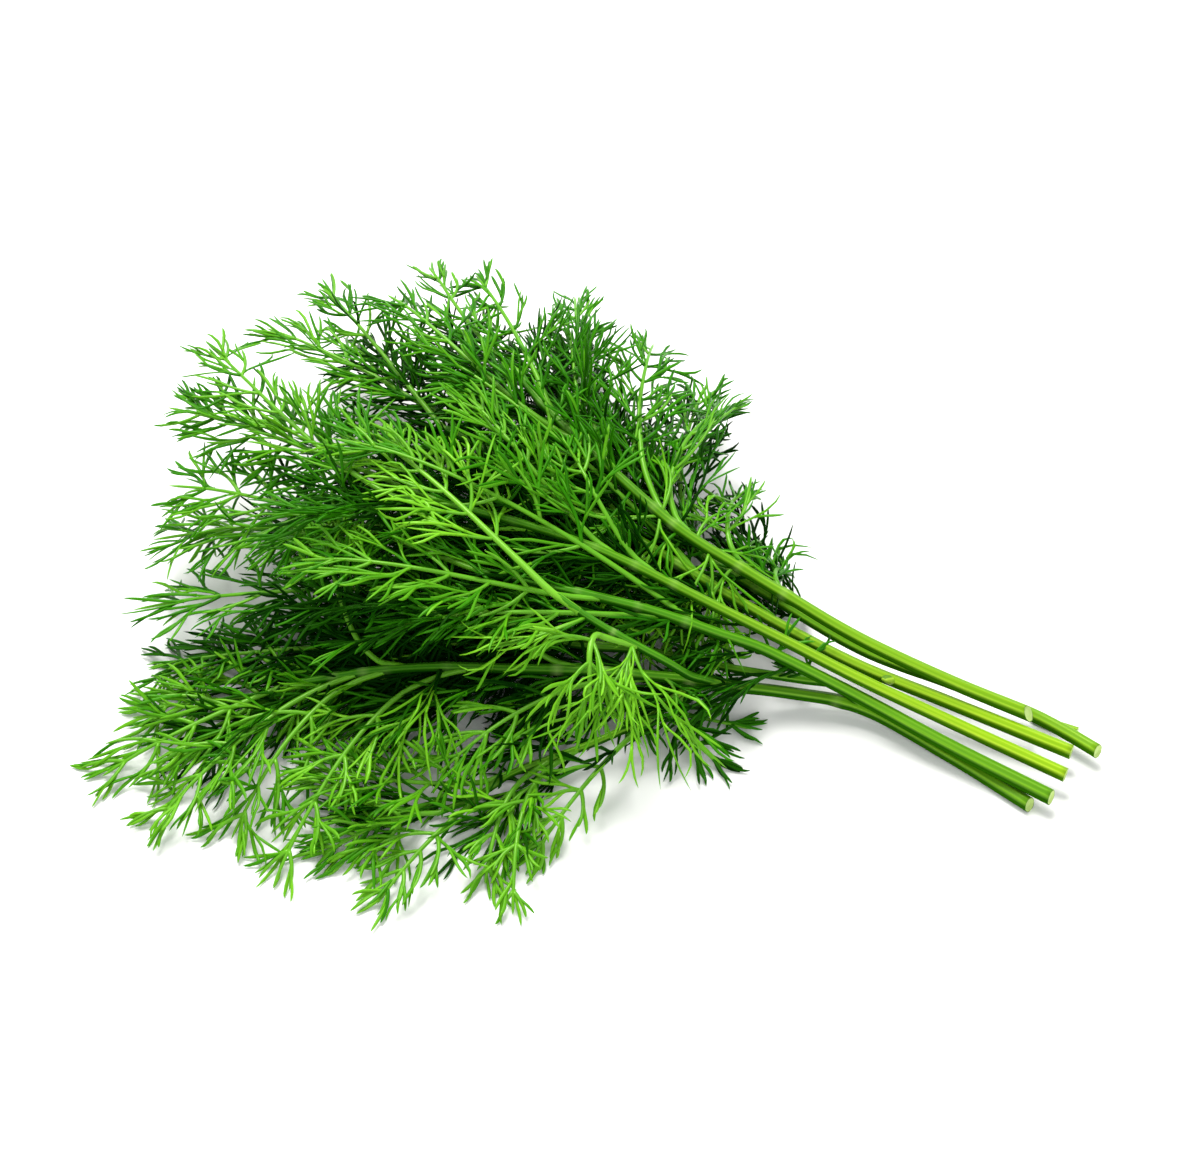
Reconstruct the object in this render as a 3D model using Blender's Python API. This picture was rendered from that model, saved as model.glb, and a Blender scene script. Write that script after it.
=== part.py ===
"""A bunch of fresh dill lying on its side.

The cut stems lie together at the +X end and fan out into feathery fronds towards -X.
Every stem, branch and frond is one closed solid. Routes are in millimetres on the bench
that the bunch lies on (z = 0), and one empty carries the bunch to its own origin, the
middle of its footprint at bench height.
"""
import math

import bmesh
import bpy
import numpy as np
from mathutils import Vector

MM = 0.001
GAP = 0.32            # clear space that touching pieces keep between them, mm
END_GAP = 0.6         # space between the far end of a stem and the frond that carries it on, mm
STEM_STEP = 10.0      # spacing of the points along a stem, mm
RACHIS_POINTS = 7     # points along a frond's midrib
RACHIS_BASE = 1.0     # radius of a frond's midrib where it leaves the stem, mm
RACHIS_TIP = 0.5      # radius of a frond's midrib at its tip, mm
PINNA_ROOT = 0.55     # radius of a side leaflet at the midrib, mm
PINNA_TIP = 0.35      # radius of a side leaflet at its tip, mm
FIRST_PAIR = 0.30     # where the first pair of leaflets leaves the midrib, as a fraction
LAST_PAIR = 0.86      # where the last pair leaves it
FORK_LOW = 48         # angle between the lowest leaflets and the midrib, degrees
FORK_HIGH = 32        # the same angle near the tip, degrees
LEAFLET_BEND = 16     # how far a leaflet turns towards the tip half way along, degrees
LOWEST_LEAFLET = 1.12  # length of a leaflet at the midrib's foot, in leaflet lengths
LEAFLET_TAPER = 0.62  # how much of that length is lost along the midrib
FLOOR = 0.02          # lowest height that any surface may reach over the bench, mm
SIDE_GAP = 0.42       # space between a stem and a frond that leaves its side, mm
LEAVE_ALONG = 0.26    # how far a midrib first follows its stem, as a fraction of its reach
LEAVE_OUT = 0.10      # how far it swings outwards over that stretch
ARRIVE = 0.30         # length of its straight end run, as a fraction of its reach
ROUTE_DETAIL = 24     # steps between two points of a stem's route before it is evened out
MOST_PUSH = 12        # furthest that a midrib is moved aside to clear its neighbours, mm
SHORTER = (1.0, 0.8, 0.62, 0.45)             # lengths tried for a leaflet short of room
LEANS = (0, 14, -14, 28, -28, 42, -42, 56)   # tilts tried for it, degrees

# name: (diameter at the cut, diameter at the far end, route from the cut towards the fan)
STEMS = {
    "stem_1": (3.9, 2.4, [(126, -10, 10), (101, -8, 14), (75, -4, 18), (55, 0, 23),
                          (36, 4, 28), (20, 8, 32), (-3, 20, 36), (-28, 37, 37),
                          (-39, 48, 36)]),
    "stem_2": (3.8, 2.2, [(145, -13, 5), (126, -6, 5), (101, -3, 7), (75, -1, 10),
                          (44, 8, 14), (18, 17, 16), (-2, 25, 18), (-22, 38, 19)]),
    "stem_3": (3.9, 2.2, [(138, -16, 6), (103, -11.8, 9.5), (76, -9.2, 13),
                          (49, -5, 19), (27, 0, 24), (0, 8, 28), (-34, 20, 30),
                          (-55, 27, 30)]),
    "stem_4": (3.8, 2.0, [(138, -24, 6), (105, -18.6, 10), (78, -15.3, 15),
                          (60, -13.5, 20), (43, -13, 26), (32, -12, 29), (2, -9, 36),
                          (-30, -9, 40), (-55, -12, 42)]),
    "stem_5": (3.9, 2.0, [(136, -31.7, 5), (106, -24.3, 7), (79, -18.2, 11),
                          (52, -17, 20), (40, -18.5, 24), (21, -20, 29),
                          (0, -22, 32), (-28, -24, 34)]),
    "stem_6": (3.6, 2.0, [(131, -33.6, 1.9), (106, -23.4, 1.9), (79, -16.2, 4),
                          (57, -19, 6), (46, -24, 10), (36, -28, 14), (11, -35, 17),
                          (-13, -42, 18), (-31, -46, 17), (-50, -51, 14),
                          (-71, -59, 10)]),
    "stem_stub": (2.8, 2.0, [(138, -5.5, 1.7), (131, -4.5, 1.6), (124, -3.3, 1.5)]),
    "branch_1": (2.4, 1.8, [(72, -14, 8.5), (53, -17.6, 10.5), (37, -20, 12),
                            (22, -21, 13), (6, -25, 14), (-14, -29, 15),
                            (-32, -35, 14)]),
    "branch_2": (2.3, 1.8, [(34, -29.5, 17.5), (27, -32, 25), (15, -33, 32),
                            (6, -33, 37), (-4, -31, 41)]),
    "branch_3": (2.2, 1.8, [(33, -31.5, 12), (30, -36, 10.5), (25, -42, 9),
                            (15, -51, 8), (7, -58, 7), (-3, -65, 6), (-11, -76, 5),
                            (-19, -83, 4)]),
}

# name: (carrier, place along it from cut 0 to far end 1, tip, rise of the arch, leaflet
#        length, pairs of leaflets, roll of the leaf about its midrib in degrees)
FRONDS = {
    "frond_1a": ("stem_1", 1.00, (-80, 87, 30), 3, 18, 4, -15),
    "frond_1b": ("stem_1", 0.93, (-66, 89, 29), 4, 17, 4, 25),
    "frond_1c": ("stem_1", 0.86, (-85, 65, 38), 8, 22, 5, -20),
    "frond_1d": ("stem_1", 0.78, (-36, 92, 26), 6, 18, 5, 20),
    "frond_1e": ("stem_1", 0.66, (-8, 80, 26), 8, 21, 6, -20),
    "frond_1f": ("stem_1", 0.62, (19, 65, 22), 8, 22, 5, 30),
    "frond_1g": ("stem_1", 0.50, (30, 37, 18), 6, 16, 3, 15),
    "frond_1h": ("stem_1", 0.42, (48, 20, 9), 5, 12, 3, -25),
    "frond_2a": ("stem_2", 1.00, (-70, 82, 10), 3, 21, 4, 10),
    "frond_2b": ("stem_2", 0.88, (-37, 94, 1.2), 2, 24, 4, -12),
    "frond_2c": ("stem_2", 0.72, (8, 78, 14), 4, 22, 5, 15),
    "frond_2d": ("stem_2", 0.60, (35, 29, 4), 3, 14, 3, -15),
    "frond_3a": ("stem_3", 1.00, (-111, 75, 26), 4, 19, 5, 20),
    "frond_3b": ("stem_3", 0.93, (-118, 50, 29), 5, 24, 6, -20),
    "frond_3c": ("stem_3", 0.80, (-95, 62, 14), -2, 23, 5, 12),
    "frond_3d": ("stem_3", 0.70, (-31, 71, 34), 6, 23, 4, 30),
    "frond_3e": ("stem_3", 0.60, (-55, 39, 44), 8, 22, 5, 20),
    "frond_4a": ("stem_4", 1.00, (-130, 35, 34), 4, 22, 6, -10),
    "frond_4b": ("stem_4", 0.94, (-133, 11, 30), 5, 23, 6, 18),
    "frond_4c": ("stem_4", 0.84, (-124, -26, 16), 6, 26, 6, -15),
    "frond_4d": ("stem_4", 0.72, (-46, 24, 48), 6, 21, 4, -25),
    "frond_4e": ("stem_4", 0.60, (-92, 22, 20), -6, 26, 6, 15),
    "frond_4f": ("stem_4", 0.66, (-16, 20, 42), 6, 19, 4, 15),
    "frond_5a": ("stem_5", 1.00, (-124, -12, 24), 8, 25, 6, 12),
    "frond_5b": ("stem_5", 0.94, (-122, -47, 10), 8, 26, 6, -18),
    "frond_5c": ("stem_5", 0.84, (-72, -41, 42), 8, 23, 5, -12),
    "frond_5d": ("stem_5", 0.66, (-78, -1, 47), 12, 21, 6, 22),
    "frond_5e": ("stem_5", 0.74, (-45, -48, 30), 8, 20, 4, -20),
    "frond_6a": ("stem_6", 1.00, (-111, -97, 1.2), 4, 22, 4, 10),
    "frond_6b": ("stem_6", 0.95, (-92, -110, 1.2), 4, 22, 4, -15),
    "frond_6c": ("stem_6", 0.91, (-70, -106, 1.2), 5, 22, 3, 15),
    "frond_6d": ("stem_6", 0.88, (-73, -20, 34), 10, 19, 4, 30),
    "frond_6e": ("stem_6", 0.57, (53, -30, 1.2), 0, 15, 3, 10),
    "frond_6f": ("stem_6", 0.66, (-46, -30, 30), 6, 19, 4, -20),
    "frond_6g": ("stem_6", 0.60, (-22, -76, 10), 6, 20, 4, 15),
    "frond_6h": ("stem_6", 0.80, (-54, -117, 1.2), 5, 19, 4, -10),
    "frond_7a": ("branch_1", 1.00, (-113, -60, 3), 6, 24, 6, -12),
    "frond_7b": ("branch_1", 0.84, (-116, -76, 1.2), 4, 21, 6, 14),
    "frond_7c": ("branch_1", 0.64, (-100, 5, 3), -4, 27, 6, -14),
    "frond_8a": ("branch_2", 1.00, (-66, 4, 45), 7, 21, 5, -8),
    "frond_8b": ("branch_2", 0.60, (14, -54, 26), 8, 17, 3, 25),
    "frond_9a": ("branch_3", 1.00, (-45, -104, 1.2), 3, 18, 4, 12),
    "frond_9b": ("branch_3", 0.92, (-26, -114, 1.2), 3, 17, 4, -12),
    "frond_9c": ("branch_3", 0.66, (-1, -100, 1.2), 3, 14, 3, 20),
    "frond_9d": ("branch_3", 0.56, (9, -107, 1.2), 4, 14, 3, -15),
    "frond_9e": ("branch_3", 0.24, (8, -90, 1.2), 4, 14, 4, 12),
    "frond_9f": ("branch_3", 0.05, (48, -45, 1.2), 2, 15, 3, -12),
    "frond_9g": ("branch_3", 0.80, (-58, -84, 5), 5, 20, 4, -15),
}


def material(name, colour, roughness):
    """A Principled material of one colour."""
    made = bpy.data.materials.new(name)
    made.use_nodes = True
    shader = made.node_tree.nodes["Principled BSDF"]
    shader.inputs["Base Color"].default_value = (*colour, 1.0)
    shader.inputs["Roughness"].default_value = roughness
    shader.inputs["Metallic"].default_value = 0.0
    return made


def smooth_route(points, step):
    """A Catmull-Rom curve through the points, read at even steps of about `step`."""
    points = np.array(points, float)
    before = 2 * points[0] - points[1]
    after = 2 * points[-1] - points[-2]
    knots = np.vstack([before, points, after])
    fine = []
    for a, b, c, d in zip(knots, knots[1:], knots[2:], knots[3:]):
        for t in np.linspace(0, 1, ROUTE_DETAIL, endpoint=False):
            fine.append(0.5 * (2 * b + (c - a) * t + (2 * a - 5 * b + 4 * c - d) * t ** 2
                               + (3 * b - a - 3 * c + d) * t ** 3))
    fine.append(points[-1])
    return resample(np.array(fine), step=step)


def resample(line, step):
    """The same line with points at even distances along it."""
    lengths = np.concatenate([[0], np.cumsum(np.linalg.norm(np.diff(line, axis=0), axis=1))])
    count = max(2, round(lengths[-1] / step)) + 1
    even = np.linspace(0, lengths[-1], count)
    return np.column_stack([np.interp(even, lengths, line[:, k]) for k in range(3)])


def unit(vector):
    return vector / np.linalg.norm(vector)


def segment_distance(p, q, starts, ends):
    """Least distance from segment p-q to each of many segments."""
    u = q - p
    v = ends - starts
    w = p - starts
    a = u @ u
    b = v @ u
    c = np.einsum("ij,ij->i", v, v)
    d = w @ u
    e = np.einsum("ij,ij->i", v, w)
    wide = np.maximum(a * c - b * b, 1e-9)
    s = np.clip((b * e - c * d) / wide, 0, 1)
    t = np.clip((b * s + e) / c, 0, 1)
    s = np.clip((b * t - d) / a, 0, 1)
    apart = w + s[:, None] * u - t[:, None] * v
    return np.linalg.norm(apart, axis=1)


class Space:
    """The room that the tubes placed so far take up, for keeping new ones clear."""

    def __init__(self):
        self.starts = np.empty((0, 3))
        self.ends = np.empty((0, 3))
        self.radii = np.empty(0)
        self.owners = np.empty(0, "U40")

    def add(self, line, radii, owner):
        self.starts = np.vstack([self.starts, line[:-1]])
        self.ends = np.vstack([self.ends, line[1:]])
        self.radii = np.concatenate([self.radii, np.maximum(radii[:-1], radii[1:])])
        self.owners = np.concatenate([self.owners, [owner] * (len(line) - 1)])

    def clear(self, line, radii, apart_from=""):
        """Whether a tube along the line stays over the bench and keeps GAP to the others."""
        if np.any(line[:, 2] - radii < FLOOR):
            return False
        others = self.owners != apart_from
        starts, ends, near = self.starts[others], self.ends[others], self.radii[others]
        return all(np.min(segment_distance(p, q, starts, ends) - near) >= r + GAP
                   for p, q, r in zip(line, line[1:], np.maximum(radii[:-1], radii[1:])))


def tube(name, lines, roundness):
    """One curve object with a tapering tube along each line; lines are (points, radii)."""
    data = bpy.data.curves.new(name, "CURVE")
    data.dimensions = "3D"
    data.bevel_depth = MM
    data.bevel_resolution = roundness
    data.use_fill_caps = True
    for points, radii in lines:
        spline = data.splines.new("POLY")
        spline.points.add(len(points) - 1)
        for knot, point, radius in zip(spline.points, points, radii):
            knot.co = (*(MM * point), 1.0)
            knot.radius = radius
    return bpy.data.objects.new(name, data)


def welded_mesh(curve, collection):
    """The curve made a mesh object of the same name, with its caps welded on."""
    collection.objects.link(curve)
    bpy.context.view_layer.update()
    graph = bpy.context.evaluated_depsgraph_get()
    mesh = bpy.data.meshes.new_from_object(curve.evaluated_get(graph))
    shape = bmesh.new()
    shape.from_mesh(mesh)
    bmesh.ops.remove_doubles(shape, verts=shape.verts, dist=0.01 * MM)
    bmesh.ops.recalc_face_normals(shape, faces=shape.faces)
    shape.to_mesh(mesh)
    shape.free()
    name = curve.name
    bpy.data.objects.remove(curve, do_unlink=True)
    made = bpy.data.objects.new(name, mesh)
    collection.objects.link(made)
    return made


def stem_line(row):
    """Centreline and radii of a stem: a smooth taper from the cut to the far end."""
    cut, far, route = row
    line = smooth_route(route, STEM_STEP)
    return line, np.linspace(cut / 2, far / 2, len(line))


def place_on(line, radii, along):
    """Point, direction and radius at a fraction of the way along a stem."""
    at = along * (len(line) - 1)
    low = min(int(at), len(line) - 2)
    mix = at - low
    point = line[low] * (1 - mix) + line[low + 1] * mix
    return point, unit(line[low + 1] - line[low]), radii[low] * (1 - mix) + radii[low + 1] * mix


def rachis_line(stem, row, swing, lift):
    """A frond's midrib: it leaves along the stem, arches over and comes down to its tip."""
    _, along, tip, rise, _, _, _ = row
    point, way, radius = place_on(*stem, along)
    tip = np.array(tip, float)
    out = unit(tip - point - ((tip - point) @ way) * way)
    start = point + way * END_GAP
    if along < 1.0:
        start = point + out * (radius + RACHIS_BASE + SIDE_GAP)
    reach = np.linalg.norm(tip - start)
    across = unit(np.cross(tip - start, (0, 0, 1)))
    leave = start + (LEAVE_ALONG * way + LEAVE_OUT * out) * reach
    leave = leave + np.array([0, 0, 0.5 * rise + lift]) + across * swing
    arrive = tip - unit(tip - leave) * reach * ARRIVE + np.array([0, 0, rise + lift])
    t = np.linspace(0, 1, RACHIS_POINTS)[:, None]
    line = ((1 - t) ** 3 * start + 3 * (1 - t) ** 2 * t * leave
            + 3 * (1 - t) * t ** 2 * arrive + t ** 3 * tip)
    return line, np.linspace(RACHIS_BASE, RACHIS_TIP, RACHIS_POINTS)


def leaflet(root, forward, side, length, fork, lean):
    """One side leaflet: it leaves at the fork angle, then curves towards the tip."""
    up = np.cross(side, forward)
    up = up if up[2] > 0 else -up
    first = math.radians(fork)
    second = math.radians(fork - LEAFLET_BEND)
    tilt = math.radians(lean)
    out = side * math.cos(tilt) + up * math.sin(tilt)
    elbow = root + 0.5 * length * (forward * math.cos(first) + out * math.sin(first))
    end = elbow + 0.5 * length * (forward * math.cos(second) + out * math.sin(second))
    return np.array([root, elbow, end])


def fitted_leaflet(space, owner, root, forward, side, length, fork):
    """The longest leaflet that is clear of everything, or none if even a short one isn't."""
    radii = np.array([PINNA_ROOT, (PINNA_ROOT + PINNA_TIP) / 2, PINNA_TIP])
    for part in SHORTER:
        for lean in LEANS:
            line = leaflet(root, forward, side, length * part, fork, lean)
            if space.clear(line, radii, owner):
                return line, radii
    return None


def leaflets(space, name, rachis, row):
    """Pairs of leaflets along a midrib, each a V-shaped tube through it."""
    line, line_radii = rachis
    _, _, _, _, length, pairs, roll = row
    turn = math.radians(roll)
    found = []
    for place in np.linspace(FIRST_PAIR, LAST_PAIR, pairs):
        root, forward, _ = place_on(line, line_radii, place)
        side = unit(np.cross(forward, (0, 0, 1)))
        above = np.cross(side, forward)
        side = side * math.cos(turn) + above * math.sin(turn)
        fork = FORK_LOW + (FORK_HIGH - FORK_LOW) * place
        reach = length * (LOWEST_LEAFLET - LEAFLET_TAPER * place)
        arms = [fitted_leaflet(space, name, root, forward, way * side, reach, fork)
                for way in (-1, 1)]
        arms = [arm for arm in arms if arm]
        if len(arms) == 2:
            (left, r), (right, _) = arms
            found.append((np.vstack([left[::-1], right[1:]]), np.concatenate([r[::-1], r[1:]])))
        elif arms:
            found.append(arms[0])
        for arm in arms:
            space.add(*arm, name + "_leaflets")
    return found


def free_rachis(space, name, stem, row):
    """The first midrib clear of its neighbours, swung and lifted a little at a time."""
    for push in range(MOST_PUSH + 1):
        for swing, lift in ((0, push), (0, -push), (push, 0), (-push, 0),
                            (push, push), (-push, push), (push, -push), (-push, -push)):
            line, radii = rachis_line(stem, row, swing, lift)
            tested = line.copy()
            if row[1] == 1.0:
                tested[0] += unit(line[1] - line[0]) * (stem[1][-1] + RACHIS_BASE)
            if space.clear(tested, radii):
                return line, radii
    raise RuntimeError(f"no room for the midrib of {name}")


def join_leaflets(rachis, arms, cutters):
    """Midrib and leaflets made one closed body by a Boolean union."""
    side = welded_mesh(tube(rachis.name + "_leaflets", arms, 0), cutters)
    side.hide_render = True
    side.display_type = "WIRE"
    union = rachis.modifiers.new("leaflets", "BOOLEAN")
    union.operation = "UNION"
    union.solver = "EXACT"
    union.object = side
    return side


def set_on_origin(carrier, objects):
    """Moves the carrier so that the middle of the bunch's footprint is at the origin."""
    bpy.context.view_layer.update()
    graph = bpy.context.evaluated_depsgraph_get()
    corners = []
    for item in objects:
        corners += [item.matrix_world @ Vector(c) for c in item.evaluated_get(graph).bound_box]
    low = [min(c[k] for c in corners) for k in range(3)]
    high = [max(c[k] for c in corners) for k in range(3)]
    carrier.location = (-(low[0] + high[0]) / 2, -(low[1] + high[1]) / 2, -low[2])


def main():
    for item in list(bpy.data.objects):
        bpy.data.objects.remove(item, do_unlink=True)
    bunch = bpy.data.collections.new("dill_bunch")
    cutters = bpy.data.collections.new("cutters")
    bpy.context.scene.collection.children.link(bunch)
    bpy.context.scene.collection.children.link(cutters)
    carrier = bpy.data.objects.new("bunch_origin", None)
    bunch.objects.link(carrier)
    stem_skin = material("stem_skin", (0.30, 0.46, 0.08), 0.42)
    leaf_skin = material("leaf_skin", (0.06, 0.30, 0.02), 0.48)

    space = Space()
    lines = {name: stem_line(row) for name, row in STEMS.items()}
    made = []
    for name, line in lines.items():
        stem = welded_mesh(tube(name, [line], 2), bunch)
        stem.data.materials.append(stem_skin)
        stem.data.shade_smooth()
        stem.data.set_sharp_from_angle(angle=math.radians(50))
        stem.parent = carrier
        made.append(stem)
        space.add(*line, name)

    midribs = {}
    for name, row in FRONDS.items():
        midribs[name] = free_rachis(space, name, lines[row[0]], row)
        space.add(*midribs[name], name)
    for name, row in FRONDS.items():
        arms = leaflets(space, name, midribs[name], row)
        rachis = welded_mesh(tube(name, [midribs[name]], 0), bunch)
        rachis.data.materials.append(leaf_skin)
        rachis.parent = carrier
        made.append(rachis)
        if arms:
            join_leaflets(rachis, arms, cutters).parent = carrier
    set_on_origin(carrier, made)


main()
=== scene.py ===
"""A bunch of fresh dill lying on a pale floor.

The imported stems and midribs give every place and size. Each stem gets a ribbed skin with
pale nodes and a cut face, and each frond is grown along its midrib and leaflets: forked
ribs that end in thin pointed threads.
"""
import math
import random
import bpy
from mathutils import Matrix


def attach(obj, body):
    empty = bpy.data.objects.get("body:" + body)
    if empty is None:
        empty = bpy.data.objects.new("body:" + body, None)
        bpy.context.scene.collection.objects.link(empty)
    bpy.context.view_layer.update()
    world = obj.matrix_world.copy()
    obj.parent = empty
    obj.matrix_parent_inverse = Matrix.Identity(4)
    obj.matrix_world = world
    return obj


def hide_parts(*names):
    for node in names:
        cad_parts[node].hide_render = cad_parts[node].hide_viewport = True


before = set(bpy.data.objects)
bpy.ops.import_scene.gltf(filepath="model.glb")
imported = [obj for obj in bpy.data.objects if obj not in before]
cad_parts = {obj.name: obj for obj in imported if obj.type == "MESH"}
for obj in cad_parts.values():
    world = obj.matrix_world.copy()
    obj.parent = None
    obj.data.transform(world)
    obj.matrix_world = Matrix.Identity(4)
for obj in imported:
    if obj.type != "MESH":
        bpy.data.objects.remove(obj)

from types import SimpleNamespace

import bmesh
import bpy
import numpy as np
from bpy.props import FloatProperty, FloatVectorProperty, IntProperty, PointerProperty
from mathutils import Vector

bl_info = {
    "name": "Dill Bunch",
    "version": (1, 0, 0),
    "blender": (4, 5, 0),
    "location": "3D View > Sidebar > Dill",
    "description": "Grows a bunch of fresh dill around its packed stems and midribs",
    "category": "Add Mesh",
}

MM = 0.001
BODY = "root"
MAP = "OFBake"               # the map that runs along and around every thread and stem
TONES = 16                   # rows of the leaf map: threads dark to light, then ribs
RIB_TONE = 10                # first of the rows kept for ribs
BENCH = 0.6 * MM             # lowest height of a thread's middle line
CARRIERS = {"7": "branch_1", "8": "branch_2", "9": "branch_3"}    # by a frond's number
LIGHT = ("frond_8a", "frond_8b")       # the light frond that lies on top
BACK, DEPTH = 0.12, 0.24     # place of the bunch's back edge, and how far its front lies
SLIM, FULLER = 0.95, 0.17    # threads at the back, and what the front adds to their width
BETWEEN = 0.05               # leaflets with a wider gap get turned ones between them
DEEP = 4.0 * MM              # turned leaflets only leave midribs deeper than this
TONE = 5.2                   # tone of a common frond
TONE_OF_STEM = {             # what a frond's number adds to its tone
    "1": -0.7, "2": -1.0, "3": -0.8, "4": -0.5, "6": 0.6, "7": 0.4, "9": 1.0}
TONE_OF = {                  # tones of single fronds
    "frond_8a": 8.2, "frond_8b": 7.6, "frond_6e": 3.0, "frond_9f": 2.5, "frond_1h": 4.0}


# ---------------------------------------------------------------- settings

def length_property(name, description, default, least=0.0):
    return FloatProperty(name=name, description=description, default=default, min=least,
                         unit="LENGTH", precision=5)


def angle_property(name, description, degrees):
    return FloatProperty(name=name, description=description, default=math.radians(degrees),
                         subtype="ANGLE")


def colour_property(name, description, default):
    return FloatVectorProperty(name=name, description=description, default=default,
                               subtype="COLOR", size=3, min=0.0, max=1.0)


class DillLeafSettings(bpy.types.PropertyGroup):
    """Sizes of the fronds' ribs and threads."""

    thread_width: length_property(
        "Thread width", "Width of a leaf thread before its taper", 1.15 * MM)
    thread_depth: length_property(
        "Thread depth", "Thickness of a leaf thread before its taper", 0.70 * MM)
    rib_width: length_property("Rib width", "Width of a leaflet's rib at its foot", 1.15 * MM)
    midrib_width: length_property(
        "Midrib width", "Width of a frond's midrib at its foot", 1.9 * MM)
    thread_length: length_property(
        "Thread length", "Length of a long thread", 20.0 * MM, least=1.0 * MM)
    fork_step: length_property(
        "Fork spacing", "Distance between the threads along a rib", 7.2 * MM, least=1.0 * MM)
    fork: angle_property("Fork", "Angle between a side branch and the rib it leaves", 25)
    stray: angle_property("Stray", "How far side branches leave the leaf's plane", 15)
    droop: FloatProperty(
        name="Droop", description="How far a thread's tip hangs, as a part of its length",
        default=0.06, min=0.0)
    seed: IntProperty(
        name="Seed", description="Seed of the small differences between threads", default=7)


class DillStemSettings(bpy.types.PropertyGroup):
    """Shape of the stems' skins."""

    ridge: FloatProperty(
        name="Ridge depth", description="Depth of the grooves, as a part of the radius",
        default=0.055, min=0.0, max=0.5)
    swell: FloatProperty(
        name="Node swelling", description="How much thicker a stem is at a node",
        default=0.14, min=0.0)
    hollow: length_property("Cut depth", "Depth of the pith inside a cut face", 0.5 * MM)
    clear: length_property(
        "Clear room", "Room kept free of threads in front of a stem", 2.6 * MM)
    foot: length_property(
        "Foot length", "Stretch over which a branch leaves its stem", 9.0 * MM)


class DillColours(bpy.types.PropertyGroup):
    """Colours of leaves and stems."""

    # deep, mid and bright are stops of one tone ramp; threads deep in the bunch are moved down it
    # as painted shade
    leaf_deep: colour_property("Deep leaf", "Darkest threads", (0.0020, 0.026, 0.0006))
    leaf_mid: colour_property("Leaf", "Threads half way down", (0.025, 0.192, 0.001))
    leaf_bright: colour_property("Bright leaf", "Uppermost threads", (0.168, 0.485, 0.014))
    leaf_pale: colour_property("Pale leaf", "Pale tips", (0.330, 0.560, 0.180))
    rib: colour_property("Rib", "Ribs of the fronds", (0.095, 0.330, 0.012))
    stem_green: colour_property("Stem", "Stems towards the fan", (0.038, 0.212, 0.004))
    stem_yellow: colour_property("Cut end of stem", "Stems at the cut", (0.310, 0.500, 0.002))
    # ridge colours: partly pale ribs, partly a painted highlight on the crests
    stem_ridge: colour_property("Stem ridge", "Ridges of green stems", (0.125, 0.375, 0.014))
    ripe_ridge: colour_property(
        "Ridge at the cut", "Ridges of yellow stems", (0.500, 0.700, 0.045))
    pale: colour_property("Node", "Nodes, sheaths and cut faces", (0.560, 0.740, 0.240))


class DillStageSettings(bpy.types.PropertyGroup):
    """Camera, floor and lights."""

    azimuth: angle_property("Azimuth", "Turn of the camera round the bunch", 17)
    elevation: angle_property(
        "Elevation", "Height of the camera over the floor's plane", 50)
    distance: length_property(
        "Distance", "Distance from the camera to the point it aims at", 0.84, least=0.1)
    aim: FloatVectorProperty(
        name="Aim", description="Point that the camera aims at",
        default=(-0.0062, 0.01045, 0.012), subtype="TRANSLATION", size=3, precision=4)
    lens: FloatProperty(
        name="Lens", description="Focal length in millimetres", default=90.0, min=1.0,
        unit="CAMERA")
    floor: length_property("Floor", "Side of the square floor", 6.0, least=0.5)


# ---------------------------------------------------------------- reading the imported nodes

RING_LINK = 1.5 * MM         # corners of one ring of a frond's tubes are closer than this
STEM_LINK = 2.5 * MM         # corners of one ring of a stem are closer than this
SQUARE = 0.01 * MM           # most that the corners of a plain ring differ from its radius
MIDRIB_RADIUS = 0.48 * MM    # rings of a midrib are wider than this
TIP_RADIUS = 0.40 * MM       # rings at a leaflet's tip are thinner than this
JUNCTION = 14                # a ring joined to the outlines of two leaflets has these corners


def merged(node):
    """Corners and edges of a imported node, with the corners of its triangles merged."""
    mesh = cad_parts[node].data
    places = np.empty(len(mesh.vertices) * 3, np.float32)
    mesh.vertices.foreach_get("co", places)
    places = places.reshape(-1, 3).astype(float)
    _, first, same = np.unique(np.round(places / (0.002 * MM)), axis=0,
                               return_index=True, return_inverse=True)
    edges = np.empty(len(mesh.edges) * 2, np.int32)
    mesh.edges.foreach_get("vertices", edges)
    edges = np.unique(np.sort(same.reshape(-1)[edges.reshape(-1, 2)], axis=1), axis=0)
    return places[first], edges[edges[:, 0] != edges[:, 1]]


def rings_of(node, link):
    """The rings that a node's tubes are made of: middle, radius, corners and neighbours."""
    corners, edges = merged(node)
    reach = np.linalg.norm(corners[edges[:, 0]] - corners[edges[:, 1]], axis=1)
    group = list(range(len(corners)))

    def head(i):
        while group[i] != i:
            group[i] = group[group[i]]
            i = group[i]
        return i

    for a, b in edges[reach < link]:
        group[head(a)] = head(b)
    _, label = np.unique([head(i) for i in range(len(corners))], return_inverse=True)
    rings = []
    for k in range(label.max() + 1):
        own = corners[label == k]
        middle = own.mean(axis=0)
        radii = np.linalg.norm(own - middle, axis=1)
        rings.append(SimpleNamespace(middle=middle, radius=radii.mean(), corners=len(own),
                                     square=len(own) == 4 and radii.std() < SQUARE, near=set()))
    for a, b in label[edges]:
        if a != b:
            rings[a].near.add(b)
            rings[b].near.add(a)
    return rings


def stem_route(node):
    """Middle line and radii of a packed stem, from its cut to its far end."""
    rings = rings_of(node, STEM_LINK)
    cut = max(rings, key=lambda ring: ring.radius).middle
    rings.sort(key=lambda ring: np.linalg.norm(ring.middle - cut))
    return np.array([r.middle for r in rings]), np.array([r.radius for r in rings])


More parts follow.
